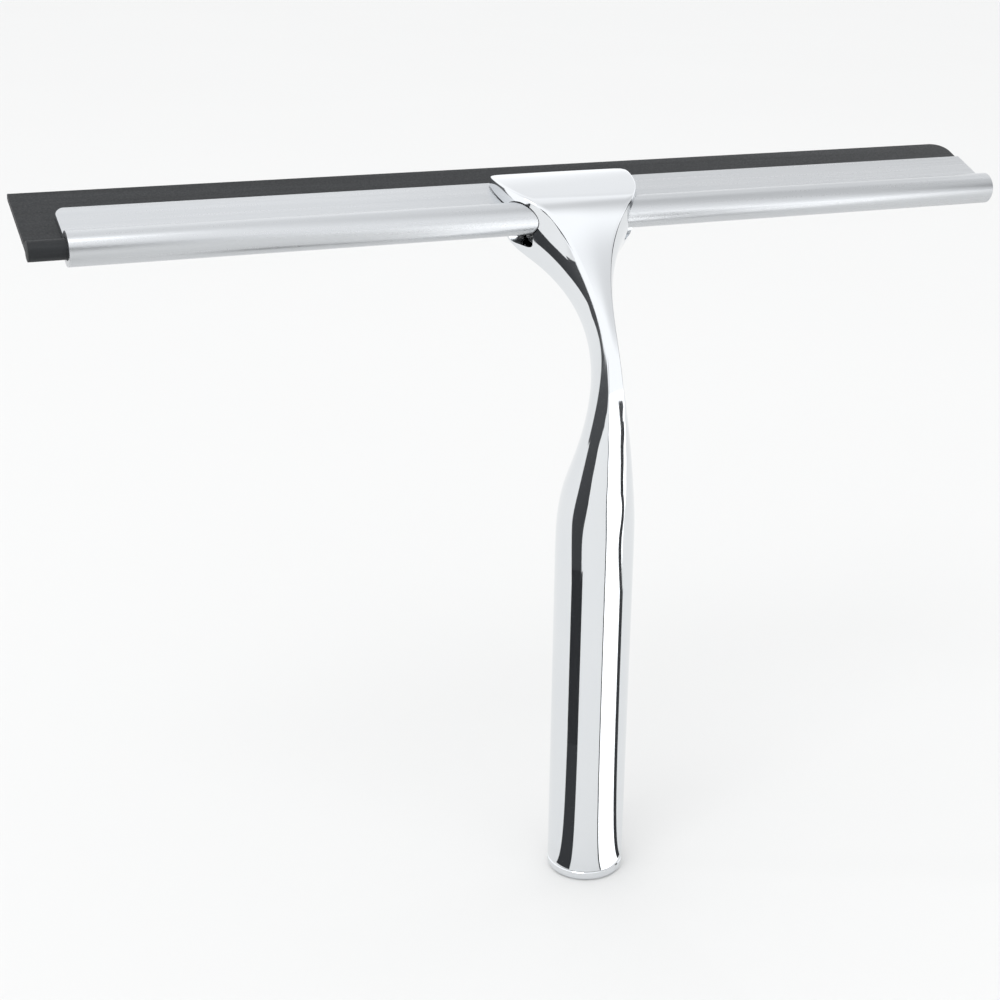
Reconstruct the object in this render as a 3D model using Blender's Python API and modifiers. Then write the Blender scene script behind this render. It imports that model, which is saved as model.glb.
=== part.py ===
"""Window cleaning squeegee: a cast T-handle that clamps an aluminium channel holding a rubber blade.

Frame: +X runs along the blade, +Z up the handle, +Y towards the glass. The origin is the
centre of the end cap's flat bottom face. Lengths are in metres.
"""

import math

import bmesh
import bpy
from mathutils import Matrix, Vector

MM = 0.001

# Driving dimensions
FIT_GAP = 0.3 * MM
BLADE_LENGTH = 305.0 * MM
CHANNEL_LENGTH = 294.0 * MM
BLADE_PITCH = math.radians(69.0)
BULB_CENTRE = Vector((0.0, 18.5, 208.3)) * MM

GRIP_RADIUS = 12.0 * MM
GRIP_BORE_RADIUS = 10.0 * MM
GRIP_BORE_TOP = 98.0 * MM
BORE_CONE = 5.0 * MM
CAP_HEIGHT = 3.2 * MM
CAP_EDGE_ROUND = 1.6 * MM
PLUG_RADIUS = 9.2 * MM
PLUG_TOP = 14.0 * MM
PLUG_CHAMFER = 0.8 * MM
CAP_CHAMFER = 0.3 * MM
SEAL_GROOVE_RADIUS = 7.7 * MM
SEAL_GROOVE_HALF_WIDTH = 1.2 * MM
SEAL_HEIGHT = 9.0 * MM
SEAL_WIRE_RADIUS = 0.85 * MM

BULB_RADIUS = 4.8 * MM
GROOVE_RADIUS = 3.1 * MM
FLANGE_TOP = 1.8 * MM
FLANGE_THICKNESS = 1.3 * MM
FLANGE_REACH = 17.5 * MM
CREASE_ROUND = 0.8 * MM
SLOT_FLOOR = -1.9 * MM
LIP_REACH = 28.0 * MM
LIP_CHAMFER = 0.9 * MM
RUBBER_OFFSET = -4.5 * MM

JAW_REACH = 2.6 * MM
CLAMP_TRAVEL = 1.0 * MM
SHOE_LENGTH = 30.0 * MM
SHOE_BACK = -4.2 * MM
SHOE_FRONT = 0.9 * MM
SHOE_BOTTOM = -6.5 * MM
SHOE_ROUND = 1.2 * MM

SCREW_SPACING = 19.0 * MM
SCREW_OFFSET = -1.6 * MM
SCREW_SHANK_RADIUS = 2.0 * MM
SCREW_HEAD_RADIUS = 3.5 * MM
SCREW_HEAD_HEIGHT = 2.2 * MM
SCREW_HEAD_ROUND = 1.2 * MM
SCREW_TIP_CHAMFER = 0.5 * MM
SCREW_SEAT = -10.2 * MM
DRIVE_REACH = 1.9 * MM
DRIVE_WIDTH = 0.9 * MM
DRIVE_DEPTH = 1.4 * MM
DRIVE_TAPER = 0.45

# The section frame: the blade's reach, the flange's upward normal and the blade's length
REACH = Vector((0.0, math.sin(BLADE_PITCH), math.cos(BLADE_PITCH)))
NORMAL = Vector((0.0, -math.cos(BLADE_PITCH), math.sin(BLADE_PITCH)))
SECTION_FRAME = Matrix.Translation(BULB_CENTRE) @ Matrix(
    (
        (0.0, 0.0, 1.0, 0.0),
        (REACH.y, NORMAL.y, 0.0, 0.0),
        (REACH.z, NORMAL.z, 0.0, 0.0),
        (0.0, 0.0, 0.0, 1.0),
    )
)

# Stations up the neck and head, in mm: front Y and Z, back Y and Z, then the half widths
# at the front edge, half way through and at the back edge.
NECK_STATIONS = (
    (-12.3, 129.6, 10.8, 129.6, 5.6, 11.4, 5.6),
    (-12.3, 137.0, 6.6, 137.0, 4.9, 9.8, 4.9),
    (-12.2, 146.0, 2.4, 146.0, 3.9, 7.9, 4.2),
    (-11.8, 155.0, 0.2, 155.0, 2.9, 6.0, 3.4),
    (-10.9, 164.0, 0.0, 163.5, 2.3, 4.5, 2.8),
    (-8.4, 173.5, 2.6, 171.5, 1.9, 3.6, 2.5),
    (-3.8, 182.8, 7.0, 178.8, 2.0, 4.0, 3.1),
    (2.2, 192.4, 12.8, 186.0, 3.4, 6.3, 5.8),
    (7.8, 201.4, 18.4, 192.6, 6.6, 11.0, 11.6),
)
# Stations of the head, as reach and height in the section frame, in mm
HEAD_STATIONS = (
    (-7.2, 2.6, -1.4, -12.4, 10.4, 15.4, 17.2),
    (-3.6, 6.9, 2.2, -9.4, 15.2, 19.6, 22.0),
    (5.0, 6.5, 8.0, -4.0, 20.8, 22.2, 22.5),
    (14.5, 5.0, 15.0, -1.0, 22.5, 22.5, 22.5),
    (17.0, 4.35, 17.0, -0.6, 21.8, 21.9, 21.8),
    (17.5, 4.1, 17.5, -0.4, 19.6, 19.6, 19.6),
)
# Heights of the grip's round rings, in mm
GRIP_RINGS = (3.5, 12.0, 60.0, 108.0, 120.0)
RING_POINTS = 12
HANDLE_SMOOTHING = 2

# A flat-fronted ring's shape: how far each point lies from front to back, and how its width
# is mixed from the half widths at the front, half way and at the back
FRONT_BULGE = 0.02
SHOULDER_DEPTH = 0.22
SHOULDER_MIX = 0.65
HAUNCH_DEPTH = 0.8
HAUNCH_MIX = 0.45

# How many rings the sharp edges of the front take to rise out of the round grip
CREASE_RINGS = 3

# How far the cutters run past the faces they cut
OVERCUT = 5.0 * MM
SEAT_CUT_LENGTH = 60.0 * MM
SEAT_CUT_REACH = 40.0 * MM
SEAT_CUT_DEPTH = -20.0 * MM
SCREW_HOLE_DEPTH = -15.0 * MM
SCREW_SEAT_DEPTH = -26.0 * MM

WELD = 0.01 * MM
SHARP_ANGLE = math.radians(35.0)


def make_collection(name):
    """A new collection under the scene's own."""
    collection = bpy.data.collections.new(name)
    bpy.context.scene.collection.children.link(collection)
    return collection


def make_material(name, colour, roughness, metallic):
    """A Principled material with one colour, given as linear red, green and blue."""
    material = bpy.data.materials.new(name)
    material.use_nodes = True
    shader = material.node_tree.nodes["Principled BSDF"]
    shader.inputs["Base Color"].default_value = (*colour, 1.0)
    shader.inputs["Roughness"].default_value = roughness
    shader.inputs["Metallic"].default_value = metallic
    material.diffuse_color = (*colour, 1.0)
    return material


def add_object(name, mesh, collection, material=None):
    """An object for this mesh, shaded smooth up to its sharp edges."""
    piece = bpy.data.objects.new(name, mesh)
    collection.objects.link(piece)
    if material:
        mesh.materials.append(material)
        mesh.shade_smooth()
        mesh.set_sharp_from_angle(angle=SHARP_ANGLE)
    else:
        piece.hide_render = True
        piece.display_type = "WIRE"
    return piece


def arc(centre, radius, start, end, steps):
    """Points along an arc, both ends included; angles in degrees."""
    points = []
    for step in range(steps + 1):
        angle = math.radians(start + (end - start) * step / steps)
        points.append((centre[0] + radius * math.cos(angle), centre[1] + radius * math.sin(angle)))
    return points


def angle_at_height(radius, height):
    """The angle, in degrees, at which a circle about the bulb reaches this height."""
    return math.degrees(math.asin(height / radius))


def section_bar(name, outline, length, collection, material=None):
    """A bar of the given section, centred on the bulb and running along X."""
    curve = bpy.data.curves.new(name, "CURVE")
    curve.dimensions = "2D"
    curve.fill_mode = "BOTH"
    curve.extrude = length / 2
    spline = curve.splines.new("POLY")
    spline.points.add(len(outline) - 1)
    spline.use_cyclic_u = True
    for point, (reach, height) in zip(spline.points, outline):
        point.co = (reach, height, 0.0, 1.0)
    drawing = bpy.data.objects.new(name + "_outline", curve)
    collection.objects.link(drawing)
    bpy.context.view_layer.update()
    evaluated = drawing.evaluated_get(bpy.context.evaluated_depsgraph_get())
    mesh = bpy.data.meshes.new_from_object(evaluated)
    mesh.name = name
    bpy.data.objects.remove(drawing)
    bpy.data.curves.remove(curve)
    shape = bmesh.new()
    shape.from_mesh(mesh)
    bmesh.ops.remove_doubles(shape, verts=shape.verts, dist=WELD)
    bmesh.ops.recalc_face_normals(shape, faces=shape.faces)
    shape.to_mesh(mesh)
    shape.free()
    bar = add_object(name, mesh, collection, material)
    bar.matrix_world = SECTION_FRAME
    return bar


def turned(name, profile, steps, collection, material=None):
    """A solid of revolution about Z, from a profile that runs from top to bottom."""
    mesh = bpy.data.meshes.new(name)
    edges = [(index, index + 1) for index in range(len(profile) - 1)]
    mesh.from_pydata([(radius, 0.0, height) for radius, height in profile], edges, [])
    piece = add_object(name, mesh, collection, material)
    screw = piece.modifiers.new("Turn", "SCREW")
    screw.axis = "Z"
    screw.steps = steps
    screw.render_steps = steps
    screw.use_merge_vertices = True
    screw.merge_threshold = WELD
    screw.use_smooth_shade = True
    return piece


def cut(piece, cutter):
    """Takes the cutter's shape out of the piece."""
    boolean = piece.modifiers.new("Cut " + cutter.name, "BOOLEAN")
    boolean.operation = "DIFFERENCE"
    boolean.object = cutter


def screw_frame(side):
    """The frame of one clamp screw: local Z points from its head up to the bulb."""
    centre = Vector((side * SCREW_SPACING / 2, 0.0, 0.0)) + BULB_CENTRE + SCREW_OFFSET * REACH
    lean = Vector((0.0, 0.0, 1.0)).rotation_difference(NORMAL)
    return Matrix.Translation(centre) @ lean.to_matrix().to_4x4()


def round_ring(height):
    """The cage points of a round ring of the grip, which smoothing draws in to the grip's radius."""
    step = 2 * math.pi / RING_POINTS
    radius = GRIP_RADIUS * 3 / (2 + math.cos(step))
    points = []
    for index in range(RING_POINTS):
        angle = index * step
        points.append(Vector((radius * math.sin(angle), -radius * math.cos(angle), height)))
    return points


def shaped_ring(front, back, front_half, side_half, back_half):
    """The cage points of a flat-fronted ring between a front and a back point."""
    half = (
        (0.0, -FRONT_BULGE),
        (front_half, 0.0),
        (front_half + SHOULDER_MIX * (side_half - front_half), SHOULDER_DEPTH),
        (side_half, 0.5),
        (side_half + HAUNCH_MIX * (back_half - side_half), HAUNCH_DEPTH),
        (back_half, 1.0),
        (0.0, 1.0 + FRONT_BULGE),
    )
    mirrored = [(-width, depth) for width, depth in half[5:0:-1]]
    points = []
    for width, depth in half + tuple(mirrored):
        points.append(front.lerp(back, depth) + Vector((width, 0.0, 0.0)))
    return points


def handle_rings():
    """Every ring of the handle's cage, from the grip's open end to the far edge of the head."""
    rings = [round_ring(height * MM) for height in GRIP_RINGS]
    for front_y, front_z, back_y, back_z, *halves in NECK_STATIONS:
        front = Vector((0.0, front_y, front_z)) * MM
        back = Vector((0.0, back_y, back_z)) * MM
        rings.append(shaped_ring(front, back, *(half * MM for half in halves)))
    for front_reach, front_height, back_reach, back_height, *halves in HEAD_STATIONS:
        front = BULB_CENTRE + (front_reach * REACH + front_height * NORMAL) * MM
        back = BULB_CENTRE + (back_reach * REACH + back_height * NORMAL) * MM
        rings.append(shaped_ring(front, back, *(half * MM for half in halves)))
    return rings


def build_handle(collection, cutters, material):
    """The one-piece casting: round grip, slim neck and fan-shaped head with its C-seat."""
    shape = bmesh.new()
    crease = shape.edges.layers.float.new("crease_edge")
    rings = [[shape.verts.new(point) for point in ring] for ring in handle_rings()]
    for level, (low, high) in enumerate(zip(rings, rings[1:])):
        for index in range(RING_POINTS):
            after = (index + 1) % RING_POINTS
            shape.faces.new((low[index], low[after], high[after], high[index]))
        sharpness = min(max(0.0, (level - len(GRIP_RINGS)) / CREASE_RINGS), 1.0)
        for index in (1, RING_POINTS - 1):
            shape.edges.get((low[index], high[index]))[crease] = sharpness
    ends = (shape.faces.new(reversed(rings[0])), shape.faces.new(rings[-1]))
    for end in ends:
        for edge in end.edges:
            edge[crease] = 1.0
    bmesh.ops.recalc_face_normals(shape, faces=shape.faces)
    mesh = bpy.data.meshes.new("handle")
    shape.to_mesh(mesh)
    shape.free()
    handle = add_object("handle", mesh, collection, material)
    smoothing = handle.modifiers.new("Cast form", "SUBSURF")
    smoothing.levels = HANDLE_SMOOTHING
    smoothing.render_levels = HANDLE_SMOOTHING
    cut(handle, seat_cutter(cutters))
    cut(handle, bore_cutter(cutters))
    for side, word in ((-1, "left"), (1, "right")):
        cut(handle, screw_hole_cutter(side, word, cutters))
        cut(handle, screw_seat_cutter(side, word, cutters))
    return handle


def seat_cutter(cutters):
    """The C-seat: room for the bulb, the shoe's pocket below it and the flange's slot."""
    radius = BULB_RADIUS + FIT_GAP
    ceiling = FLANGE_TOP + FIT_GAP
    round_radius = CREASE_ROUND - FIT_GAP
    round_height = ceiling + round_radius
    round_reach = math.sqrt((radius + round_radius) ** 2 - round_height**2)
    meeting = math.degrees(math.atan2(round_height, round_reach))
    pocket_back = SHOE_BACK - FIT_GAP
    pocket_front = SHOE_FRONT + FIT_GAP
    pocket_floor = SHOE_BOTTOM - CLAMP_TRAVEL - FIT_GAP
    pocket_angle = 360.0 - math.degrees(math.acos(pocket_back / radius))
    front_angle = 360.0 - math.degrees(math.acos(pocket_front / radius))
    jaw_angle = 360.0 - math.degrees(math.acos(JAW_REACH / radius))
    pocket_round = SHOE_ROUND + FIT_GAP
    round_floor = pocket_floor + pocket_round
    outline = [(SEAT_CUT_REACH, ceiling)]
    outline += arc((round_reach, round_height), round_radius, 270.0, 180.0 + meeting, 3)
    outline += arc((0.0, 0.0), radius, meeting, pocket_angle, 16)[1:]
    outline += arc((pocket_back + pocket_round, round_floor), pocket_round, 180.0, 270.0, 4)
    outline += arc((pocket_front - pocket_round, round_floor), pocket_round, 270.0, 360.0, 4)
    outline += arc((0.0, 0.0), radius, front_angle, jaw_angle, 2)
    outline += [(JAW_REACH, SEAT_CUT_DEPTH), (SEAT_CUT_REACH, SEAT_CUT_DEPTH)]
    return section_bar("seat_cutter", outline, SEAT_CUT_LENGTH, cutters)


def bore_cutter(cutters):
    """The hollow inside the grip, open at the bottom, with a coned upper end."""
    profile = (
        (0.0, GRIP_BORE_TOP + BORE_CONE),
        (GRIP_BORE_RADIUS, GRIP_BORE_TOP),
        (GRIP_BORE_RADIUS, -OVERCUT),
        (0.0, -OVERCUT),
    )
    return turned("bore_cutter", profile, 40, cutters)


def screw_hole_cutter(side, word, cutters):
    """The hole through the lower jaw for one screw's shank."""
    radius = SCREW_SHANK_RADIUS + FIT_GAP
    profile = (
        (0.0, SHOE_BOTTOM),
        (radius, SHOE_BOTTOM),
        (radius, SCREW_HOLE_DEPTH),
        (0.0, SCREW_HOLE_DEPTH),
    )
    cutter = turned("screw_hole_cutter_" + word, profile, 20, cutters)
    cutter.matrix_world = screw_frame(side)
    return cutter


def screw_seat_cutter(side, word, cutters):
    """The counterbore in the head's underside that takes one screw's head."""
    radius = SCREW_HEAD_RADIUS + FIT_GAP
    profile = (
        (0.0, SCREW_SEAT),
        (radius, SCREW_SEAT),
        (radius, SCREW_SEAT_DEPTH),
        (0.0, SCREW_SEAT_DEPTH),
    )
    cutter = turned("screw_seat_cutter_" + word, profile, 24, cutters)
    cutter.matrix_world = screw_frame(side)
    return cutter


def build_end_cap(collection, material):
    """The plug that closes the grip: a flat-bottomed disc with a grooved spigot."""
    low = SEAL_HEIGHT - SEAL_GROOVE_HALF_WIDTH
    high = SEAL_HEIGHT + SEAL_GROOVE_HALF_WIDTH
    profile = [
        (0.0, PLUG_TOP),
        (PLUG_RADIUS - PLUG_CHAMFER, PLUG_TOP),
        (PLUG_RADIUS, PLUG_TOP - PLUG_CHAMFER),
        (PLUG_RADIUS, high),
        (SEAL_GROOVE_RADIUS, high),
        (SEAL_GROOVE_RADIUS, low),
        (PLUG_RADIUS, low),
        (PLUG_RADIUS, CAP_HEIGHT),
        (GRIP_RADIUS - CAP_CHAMFER, CAP_HEIGHT),
        (GRIP_RADIUS, CAP_HEIGHT - CAP_CHAMFER),
    ]
    edge_centre = (GRIP_RADIUS - CAP_EDGE_ROUND, CAP_EDGE_ROUND)
    profile += arc(edge_centre, CAP_EDGE_ROUND, 0.0, -90.0, 5)
    profile.append((0.0, 0.0))
    return turned("end_cap", profile, 48, collection, material)


def build_cap_seal_ring(collection, material):
    """The rubber ring in the spigot's groove, which grips the bore."""
    bpy.ops.mesh.primitive_torus_add(
        location=(0.0, 0.0, SEAL_HEIGHT),
        major_radius=SEAL_GROOVE_RADIUS + FIT_GAP + SEAL_WIRE_RADIUS,
        minor_radius=SEAL_WIRE_RADIUS,
        major_segments=32,
        minor_segments=8,
    )
    mesh = bpy.context.object.data
    bpy.data.objects.remove(bpy.context.object)
    mesh.name = "cap_seal_ring"
    ring = add_object("cap_seal_ring", mesh, collection, material)
    ring.location = (0.0, 0.0, SEAL_HEIGHT)
    return ring


def build_blade_channel(collection, material):
    """The aluminium extrusion: a slotted round bulb with a flat flange over the rubber."""
    flange_bottom = FLANGE_TOP - FLANGE_THICKNESS
    round_height = FLANGE_TOP + CREASE_ROUND
    round_reach = math.sqrt((BULB_RADIUS + CREASE_ROUND) ** 2 - round_height**2)
    meeting = math.degrees(math.atan2(round_height, round_reach))
    edge_centre = (FLANGE_REACH - FLANGE_THICKNESS / 2, FLANGE_TOP - FLANGE_THICKNESS / 2)
    outline = arc(edge_centre, FLANGE_THICKNESS / 2, -90.0, 90.0, 4)
    outline += arc((round_reach, round_height), CREASE_ROUND, 270.0, 180.0 + meeting, 4)
    outer_end = 360.0 + angle_at_height(BULB_RADIUS, SLOT_FLOOR)
    outline += arc((0.0, 0.0), BULB_RADIUS, meeting, outer_end, 26)[1:]
    inner_start = 360.0 + angle_at_height(GROOVE_RADIUS, SLOT_FLOOR)
    inner_end = angle_at_height(GROOVE_RADIUS, flange_bottom)
    outline += arc((0.0, 0.0), GROOVE_RADIUS, inner_start, inner_end, 20)
    return section_bar("blade_channel", outline, CHANNEL_LENGTH, collection, material)


def build_rubber_blade(collection, material):
    """The rubber: a round bead held in the bulb and a web that ends in the wiping lip."""
    top = FLANGE_TOP - FLANGE_THICKNESS - FIT_GAP
    bottom = SLOT_FLOOR + FIT_GAP
    bead = GROOVE_RADIUS - FIT_GAP
    start = angle_at_height(bead, top)
    outline = arc((0.0, 0.0), bead, start, 360.0 + angle_at_height(bead, bottom), 20)
    outline += [
        (LIP_REACH - LIP_CHAMFER, bottom),
        (LIP_REACH, bottom + LIP_CHAMFER / 2),
        (LIP_REACH, top),
    ]
    rubber = section_bar("rubber_blade", outline, BLADE_LENGTH, collection, material)
    rubber.matrix_world = Matrix.Translation((RUBBER_OFFSET, 0.0, 0.0)) @ SECTION_FRAME
    return rubber


def build_clamp_shoe(collection, material):
    """The black shoe under the bulb, which the two screws push up to lock the channel."""
    radius = BULB_RADIUS + FIT_GAP
    back_angle = 360.0 - math.degrees(math.acos(SHOE_BACK / radius))
    front_angle = 360.0 - math.degrees(math.acos(SHOE_FRONT / radius))
    outline = arc((0.0, 0.0), radius, front_angle, back_angle, 8)
    round_height = SHOE_BOTTOM + SHOE_ROUND
    outline += arc((SHOE_BACK + SHOE_ROUND, round_height), SHOE_ROUND, 180.0, 270.0, 4)
    outline += arc((SHOE_FRONT - SHOE_ROUND, round_height), SHOE_ROUND, 270.0, 360.0, 4)
    return section_bar("clamp_shoe", outline, SHOE_LENGTH, collection, material)


def build_clamp_screw(side, word, collection, cutters, material):
    """A pan-head screw whose tip meets the shoe, with a cross recess in its head."""
    tip = SHOE_BOTTOM - FIT_GAP
    neck = SCREW_SEAT - FIT_GAP
    foot = neck - SCREW_HEAD_HEIGHT
    edge_centre = (SCREW_HEAD_RADIUS - SCREW_HEAD_ROUND, foot + SCREW_HEAD_ROUND)
    profile = [
        (0.0, tip),
        (SCREW_SHANK_RADIUS - SCREW_TIP_CHAMFER, tip),
        (SCREW_SHANK_RADIUS, tip - SCREW_TIP_CHAMFER),
        (SCREW_SHANK_RADIUS, neck),
        (SCREW_HEAD_RADIUS, neck),
    ]
    profile += arc(edge_centre, SCREW_HEAD_ROUND, 0.0, -90.0, 4)
    profile.append((0.0, foot))
    screw = turned("clamp_screw_" + word, profile, 24, collection, material)
    screw.matrix_world = screw_frame(side)
    for turn, letter in ((0.0, "a"), (math.pi / 2, "b")):
        cut(screw, drive_cutter(side, word + "_" + letter, turn, foot, cutters))
    return screw


def drive_cutter(side, word, turn, foot, cutters):
    """One bar of the cross recess, which narrows towards the recess's floor."""
    shape = bmesh.new()
    size = Matrix.Diagonal((2 * DRIVE_REACH, DRIVE_WIDTH, 2 * DRIVE_DEPTH, 1.0))
    bmesh.ops.create_cube(shape, size=1.0, matrix=size)
    floor = [vertex for vertex in shape.verts if vertex.co.z > 0.0]
    bmesh.ops.scale(shape, verts=floor, vec=(DRIVE_TAPER, DRIVE_TAPER, 1.0))
    place = Matrix.Translation((0.0, 0.0, foot)) @ Matrix.Rotation(turn, 4, "Z")
    bmesh.ops.transform(shape, matrix=place, verts=shape.verts)
    mesh = bpy.data.meshes.new("drive_cutter_" + word)
    shape.to_mesh(mesh)
    shape.free()
    cutter = add_object("drive_cutter_" + word, mesh, cutters)
    cutter.matrix_world = screw_frame(side)
    return cutter


def main():
    """Clears the scene and builds every piece of the squeegee."""
    for old in list(bpy.data.objects):
        bpy.data.objects.remove(old)
    squeegee = make_collection("window_squeegee")
    cutters = make_collection("cutters")
    chrome = make_material("chrome_plate", (0.83, 0.84, 0.85), 0.06, 1.0)
    cap_chrome = make_material("cap_chrome", (0.80, 0.81, 0.82), 0.10, 1.0)
    aluminium = make_material("satin_aluminium", (0.76, 0.77, 0.78), 0.32, 1.0)
    rubber = make_material("blade_rubber", (0.060, 0.063, 0.066), 0.55, 0.0)
    seal_rubber = make_material("seal_rubber", (0.02, 0.02, 0.02), 0.60, 0.0)
    nylon = make_material("shoe_nylon", (0.012, 0.012, 0.013), 0.30, 0.0)
    steel = make_material("screw_steel", (0.62, 0.62, 0.63), 0.22, 1.0)
    build_handle(squeegee, cutters, chrome)
    build_end_cap(squeegee, cap_chrome)
    build_cap_seal_ring(squeegee, seal_rubber)
    build_blade_channel(squeegee, aluminium)
    build_rubber_blade(squeegee, rubber)
    build_clamp_shoe(squeegee, nylon)
    for side, word in ((-1, "left"), (1, "right")):
        build_clamp_screw(side, word, squeegee, cutters, steel)
    cutters.hide_render = True


main()
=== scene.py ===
"""Window cleaning squeegee: the finished look of every piece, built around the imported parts.

Frame: +X runs along the blade, +Z up the handle, +Y towards the glass. The origin is the
centre of the end cap's flat bottom face. Lengths are in metres.
"""

import math

import bmesh
import bpy
from bpy.props import FloatProperty, FloatVectorProperty, IntProperty, PointerProperty
from bpy.types import Operator, Panel, PropertyGroup
from mathutils import Matrix, Vector


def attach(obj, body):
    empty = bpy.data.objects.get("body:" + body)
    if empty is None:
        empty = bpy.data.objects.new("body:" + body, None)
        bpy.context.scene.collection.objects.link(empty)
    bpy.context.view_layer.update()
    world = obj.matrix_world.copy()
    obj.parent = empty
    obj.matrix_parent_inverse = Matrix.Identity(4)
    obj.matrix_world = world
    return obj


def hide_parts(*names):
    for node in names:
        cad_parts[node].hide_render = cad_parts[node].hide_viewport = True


bl_info = {
    "name": "Window Cleaning Squeegee",
    "version": (1, 0, 0),
    "blender": (4, 5, 0),
    "location": "View3D > Sidebar > Squeegee",
    "description": "Builds a chrome hand squeegee piece by piece on its packed frame",
    "category": "Add Mesh",
}

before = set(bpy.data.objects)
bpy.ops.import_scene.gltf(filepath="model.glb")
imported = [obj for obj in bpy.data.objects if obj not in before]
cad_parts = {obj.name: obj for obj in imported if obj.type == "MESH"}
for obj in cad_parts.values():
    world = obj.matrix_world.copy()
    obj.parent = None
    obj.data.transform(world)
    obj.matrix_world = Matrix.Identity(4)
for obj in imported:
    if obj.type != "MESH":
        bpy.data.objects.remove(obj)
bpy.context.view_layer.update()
MM = 0.001
WELD = 0.005 * MM
SAME_PLACE = 0.01 * MM
BREAK_ANGLE = math.radians(40.0)

# The blade's section frame: reach runs towards the glass, height is the flange's upward normal.
BLADE_PITCH = math.radians(69.0)
BULB_CENTRE = Vector((0.0, 18.5, 208.3)) * MM
REACH = Vector((0.0, math.sin(BLADE_PITCH), math.cos(BLADE_PITCH)))
NORMAL = Vector((0.0, -math.cos(BLADE_PITCH), math.sin(BLADE_PITCH)))

# The handle's cage, in mm. Round rings of the grip by height:
GRIP_RINGS = (3.5, 12.0, 60.0, 108.0, 120.0)
# Stations up the neck: front Y and Z, back Y and Z, then the half widths at the front edge,
# half way through and at the back edge.
NECK_STATIONS = (
    (-12.3, 129.6, 10.8, 129.6, 5.6, 11.4, 5.6),
    (-12.3, 137.0, 6.6, 137.0, 4.9, 9.8, 4.9),
    (-12.2, 146.0, 2.4, 146.0, 3.9, 7.9, 4.2),
    (-11.8, 155.0, 0.2, 155.0, 2.9, 6.0, 3.4),
    (-10.9, 164.0, 0.0, 163.5, 2.3, 4.5, 2.8),
    (-8.4, 173.5, 2.6, 171.5, 1.9, 3.6, 2.5),
    (-3.8, 182.8, 7.0, 178.8, 2.0, 4.0, 3.1),
    (2.2, 192.4, 12.8, 186.0, 3.4, 6.3, 5.8),
    (7.8, 201.4, 18.4, 192.6, 6.6, 11.0, 11.6),
)
# Stations of the head, as reach and height in the section frame
HEAD_STATIONS = (
    (-7.2, 2.6, -1.4, -12.4, 10.4, 15.4, 17.2),
    (-3.6, 6.9, 2.2, -9.4, 15.2, 19.6, 22.0),
    (5.0, 6.5, 8.0, -4.0, 20.8, 22.2, 22.5),
    (14.5, 5.0, 15.0, -1.0, 22.5, 22.5, 22.5),
    (17.0, 4.35, 17.0, -0.6, 21.8, 21.9, 21.8),
    (17.5, 4.1, 17.5, -0.4, 19.6, 19.6, 19.6),
)
RING_POINTS = 12
# A flat-fronted ring's shape: how far each point lies from front to back, and how its width
# is mixed from the half widths at the front, half way and at the back
FRONT_BULGE = 0.02
SHOULDER_DEPTH = 0.22
SHOULDER_MIX = 0.65
HAUNCH_DEPTH = 0.8
HAUNCH_MIX = 0.45
# The front's two edges: how sharp they end, and how many rings they take to get there
FRONT_CREASE = 0.58
CREASE_RINGS = 3


def linear(code):
    """An sRGB hex colour as linear red, green and blue."""
    channels = [int(code[start : start + 2], 16) / 255.0 for start in (1, 3, 5)]
    return tuple(c / 12.92 if c <= 0.04045 else ((c + 0.055) / 1.055) ** 2.4 for c in channels)


# ---------------------------------------------------------------------------------------------
# What a user may change


def length(name, description, default, low, high):
    """A length in millimetres that a user may change."""
    return FloatProperty(
        name=name,
        description=description,
        default=default * MM,
        min=low * MM,
        max=high * MM,
        precision=5,
        unit="LENGTH",
    )


def finish_colour(name, description, code):
    """A colour that a user may change, given as sRGB hex."""
    return FloatVectorProperty(
        name=name,
        description=description,
        subtype="COLOR",
        default=linear(code),
        min=0.0,
        max=1.0,
    )


class SqueegeeSizes(PropertyGroup):
    """Sizes of the pieces that are made here."""

    grip_radius: length("Grip radius", "Outside radius of the round grip", 12.0, 8.0, 20.0)
    fit_gap: length("Fit gap", "Clearance between pieces that fit into each other", 0.3, 0.1, 1.0)
    channel_length: length(
        "Channel length", "Length of the aluminium channel", 294.0, 100.0, 600.0
    )
    blade_length: length("Rubber length", "Length of the rubber blade", 305.0, 100.0, 620.0)
    bulb_radius: length(
        "Bulb radius", "Outside radius of the channel's round bulb", 4.8, 3.0, 8.0
    )
    smoothing: IntProperty(
        name="Casting smoothness",
        description="How many times the handle's cage is subdivided",
        default=4,
        min=2,
        max=5,
    )


class SqueegeeFinishes(PropertyGroup):
    """Colours of the materials."""

    chrome: finish_colour("Chrome", "Mirror colour of the chrome plate", "#e6e8ea")
    aluminium: finish_colour(
        "Aluminium", "Mirror colour of the satin anodised aluminium", "#cfd1d3"
    )
    rubber: finish_colour("Rubber", "Body colour of the wiping rubber", "#222426")
    nylon: finish_colour("Nylon", "Body colour of the moulded clamp shoe", "#121213")
    steel: finish_colour("Screw steel", "Mirror colour of the zinc-plated screws", "#c9ccd2")
    floor: finish_colour("Floor", "Colour of the studio floor", "#e8e8e7")


# ---------------------------------------------------------------------------------------------
# Modelling by hand


def let_go():
    """Leaves edit mode and selects nothing."""
    if bpy.context.object and bpy.context.object.mode != "OBJECT":
        bpy.ops.object.mode_set(mode="OBJECT")
    bpy.ops.object.select_all(action="DESELECT")


def take(piece):
    """Selects this piece only, and makes it the one worked on."""
    let_go()
    piece.select_set(True)
    bpy.context.view_layer.objects.active = piece


def name_piece(name):
    """Names the new object and its mesh."""
    piece = bpy.context.object
    piece.name = name
    piece.data.name = name
    return piece


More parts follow.
